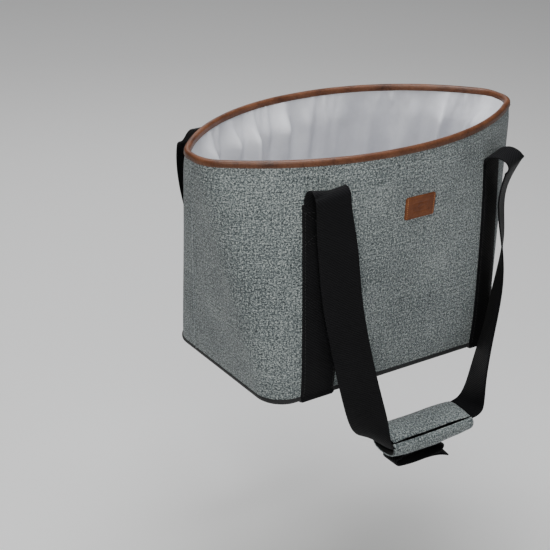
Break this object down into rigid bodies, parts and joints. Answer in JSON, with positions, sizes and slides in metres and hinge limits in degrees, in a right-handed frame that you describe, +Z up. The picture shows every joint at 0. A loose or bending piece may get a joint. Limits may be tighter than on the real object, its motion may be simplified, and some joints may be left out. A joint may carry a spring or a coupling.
{
  "type": "handlebar basket",
  "caption": "Soft-sided oval-topped handlebar basket with carry handles, on a quick-release bracket that clamps to the bar.",
  "frame": {"origin": "middle of the handlebar's axis, between the two bar clamps", "axes": "+X along the handlebar to the rider's left seen from the front of the bicycle (the bag's right in a front view), -Y forwards, away from the rider, +Z up"},
  "size_m": [0.3672, 0.314, 0.3236],
  "materials": {
    "aluminium": "mill finish",
    "black_fabric": "woven, matt",
    "black_plastic": "moulded nylon, fine texture",
    "board": "stiffening board, matt",
    "foam": "closed-cell foam",
    "heather_fabric": "woven melange polyester, matt",
    "label_leather": "embossed tan leather",
    "leather": "smooth brown synthetic leather",
    "lining_cloth": "thin satin-like polyester",
    "red_plastic": "moulded, satin",
    "rubber": "matt",
    "spring_steel": "bright",
    "steel": "zinc plated",
    "webbing": "twill-woven polypropylene, slight sheen"
  },
  "bodies": {
    "bracket": {"bracket_body": "black_plastic", "clamp_cap_left": "black_plastic", "clamp_cap_right": "black_plastic", "bar_liner_left_front": "rubber", "bar_liner_left_rear": "rubber", "bar_liner_right_front": "rubber", "bar_liner_right_rear": "rubber", "clamp_screws": "steel", "clamp_nuts": "steel", "spring_seat": "black_plastic", "button_spring": "spring_steel", "latch_leaf": "spring_steel"},
    "button": {"release_button": "red_plastic"},
    "bag": {"base_cover": "black_fabric", "base_board": "board", "shell_front": "heather_fabric", "shell_back": "heather_fabric", "front_board": "board", "back_board": "board", "lining": "lining_cloth", "backing_plate": "aluminium", "mount_plate": "black_plastic", "plate_screws": "steel", "rim_binding": "leather", "rim_wire": "spring_steel", "webbing_left": "webbing", "webbing_right": "webbing", "label_patch": "label_leather"},
    "front_handle": {"front_strap": "webbing", "grip_pad": "foam", "grip_cover": "heather_fabric", "closure_tab": "webbing"},
    "flap": {"grip_flap": "heather_fabric"},
    "rear_handle": {"rear_strap": "webbing"}
  },
  "joints": [
    {"name": "button_press", "type": "slide", "parent": "bracket", "child": "button", "axis": [0, 0, -1], "range_m": [0, 0.004], "stiffness_N_per_m": 800, "springref_m": -0.002, "deforming": ["button_spring", "latch_leaf"]},
    {"name": "bag_lift", "type": "slide", "parent": "bracket", "child": "bag", "axis": [0, 0, 1], "range_m": [0, 0.07], "deforming": ["latch_leaf"]},
    {"name": "front_handle_swing", "type": "hinge", "parent": "bag", "child": "front_handle", "pos_m": [0, -0.2415, 0.033], "axis": [-1, 0, 0], "range_deg": [0, 160]},
    {"name": "rear_handle_swing", "type": "hinge", "parent": "bag", "child": "rear_handle", "pos_m": [0, -0.049, 0.033], "axis": [1, 0, 0], "range_deg": [0, 100]},
    {"name": "grip_flap_turn", "type": "hinge", "parent": "front_handle", "child": "flap", "pos_m": [0.025, -0.2435, -0.2208], "axis": [-1, 0, 0], "range_deg": [0, 120]}
  ]
}
